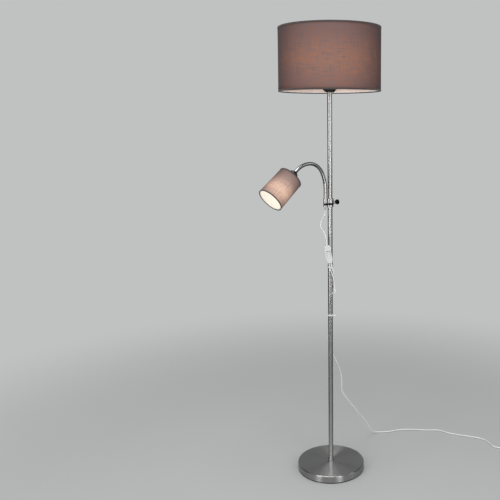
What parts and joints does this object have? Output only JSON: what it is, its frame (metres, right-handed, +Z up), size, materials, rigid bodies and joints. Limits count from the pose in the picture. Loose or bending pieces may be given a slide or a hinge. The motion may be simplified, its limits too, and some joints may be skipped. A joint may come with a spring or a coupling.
{
  "type": "torchiere floor lamp",
  "caption": "Floor lamp with a drum shade open at the top on a straight pole, a clamped gooseneck reading light with a small shade, a round weighted base and a corded rocker switch.",
  "frame": {"origin": "centre of the foot pad's underside, on the pole's axis", "axes": "+Z up along the pole, -Y towards the front, +X to the right seen from the front"},
  "size_m": [0.9424, 0.4804, 1.5],
  "materials": {
    "satin_nickel": "brushed satin nickel plate",
    "bright_nickel": "bright nickel plate",
    "dark_nickel": "black nickel plate",
    "zinc_steel": "zinc-plated steel",
    "cast_weight": "rough cast, unpainted",
    "brass": "plain sheet brass",
    "bulb_metal": "rolled thin sheet",
    "opal_glass": "white coated, satin",
    "white_plastic": "moulded, satin",
    "black_plastic": "moulded, satin",
    "clear_plastic": "translucent, moulded",
    "cord_plastic": "translucent whitish, moulded",
    "cord_pvc": "clear sheath over light wires",
    "foot_pad": "matt foam rubber",
    "shade_fabric": "slubby linen weave, taupe",
    "shade_lining": "white lining sheet, matt",
    "shade_binding": "folded tape, taupe",
    "shade_wire": "white enamelled wire"
  },
  "bodies": {
    "stand": {"base_cover": "satin_nickel", "base_nipple": "zinc_steel", "base_nut": "zinc_steel", "base_pad": "foot_pad", "base_washer": "zinc_steel", "base_weight": "cast_weight", "bulb_cap": "bulb_metal", "bulb_glass": "opal_glass", "cable_ties": "clear_plastic", "coil_tie": "clear_plastic", "holder_cap": "black_plastic", "holder_insert": "white_plastic", "holder_ring_nut": "white_plastic", "holder_screw_shell": "brass", "holder_sleeve": "white_plastic", "mains_coil": "cord_pvc", "mains_cord": "cord_pvc", "plug_body": "cord_plastic", "plug_pins": "bright_nickel", "pole_couplers": "zinc_steel", "pole_feed_wire": "cord_pvc", "pole_foot_collar": "satin_nickel", "pole_grommet": "clear_plastic", "pole_lower": "satin_nickel", "pole_middle": "satin_nickel", "pole_top_bush": "satin_nickel", "pole_upper": "satin_nickel", "reading_lead_lower": "cord_pvc", "shade_bindings": "shade_binding", "shade_carrier": "shade_wire", "shade_fabric": "shade_fabric", "shade_liner": "shade_lining", "shade_top_ring": "shade_wire", "switch_back_shell": "clear_plastic", "switch_contacts": "brass", "switch_front_shell": "clear_plastic", "switch_screws": "zinc_steel", "upper_lamp_lead": "cord_pvc"},
    "knob": {"clamp_knob": "dark_nickel", "clamp_screw": "zinc_steel"},
    "slider": {"clamp_liner": "bright_nickel"},
    "clamp": {"clamp_body": "satin_nickel", "neck_root": "satin_nickel", "lead_strain_relief": "clear_plastic", "reading_lead_upper": "cord_pvc"},
    "neck_low": {"neck_lower": "satin_nickel"},
    "neck_high": {"neck_upper": "satin_nickel"},
    "head": {"neck_tip": "satin_nickel", "reading_bulb_cap": "bulb_metal", "reading_bulb_glass": "opal_glass", "reading_cap": "black_plastic", "reading_insert": "white_plastic", "reading_ring_nut": "white_plastic", "reading_shade_bindings": "shade_binding", "reading_shade_carrier": "shade_wire", "reading_shade_fabric": "shade_fabric", "reading_shade_liner": "shade_lining", "reading_shade_open_ring": "shade_wire", "reading_sleeve": "white_plastic"},
    "rocker": {"switch_rocker": "cord_plastic"}
  },
  "joints": [
    {"name": "clamp_slide", "type": "slide", "parent": "stand", "child": "slider", "axis": [0, 0, 1], "range_m": [-0.05, 0.008], "deforming": ["reading_lead_lower"]},
    {"name": "clamp_swing", "type": "hinge", "parent": "slider", "child": "clamp", "pos_m": [0, 0, 0.93], "axis": [0, 0, 1], "range_deg": [-90, 90], "deforming": ["reading_lead_upper"]},
    {"name": "knob_turn", "type": "hinge", "parent": "clamp", "child": "knob", "pos_m": [0, 0, 0.93], "axis": [0.766, 0.6428, 0], "range_deg": [-180, 180]},
    {"name": "neck_root_bend", "type": "hinge", "parent": "clamp", "child": "neck_low", "pos_m": [-0.01509, -0.01266, 0.972], "axis": [-0.6428, 0.766, 0], "range_deg": [-25, 12]},
    {"name": "neck_crown_bend", "type": "hinge", "parent": "neck_low", "child": "neck_high", "pos_m": [-0.04207, -0.0353, 1.0541], "axis": [-0.6428, 0.766, 0], "range_deg": [-20, 40]},
    {"name": "neck_tip_bend", "type": "hinge", "parent": "neck_high", "child": "head", "pos_m": [-0.08858, -0.07433, 1.05708], "axis": [-0.6428, 0.766, 0], "range_deg": [-15, 40]},
    {"name": "rocker_tilt", "type": "hinge", "parent": "stand", "child": "rocker", "pos_m": [-0.00585, -0.0218, 0.7595], "axis": [0.9866, 0, 0.1633], "range_deg": [-16, 0]}
  ]
}
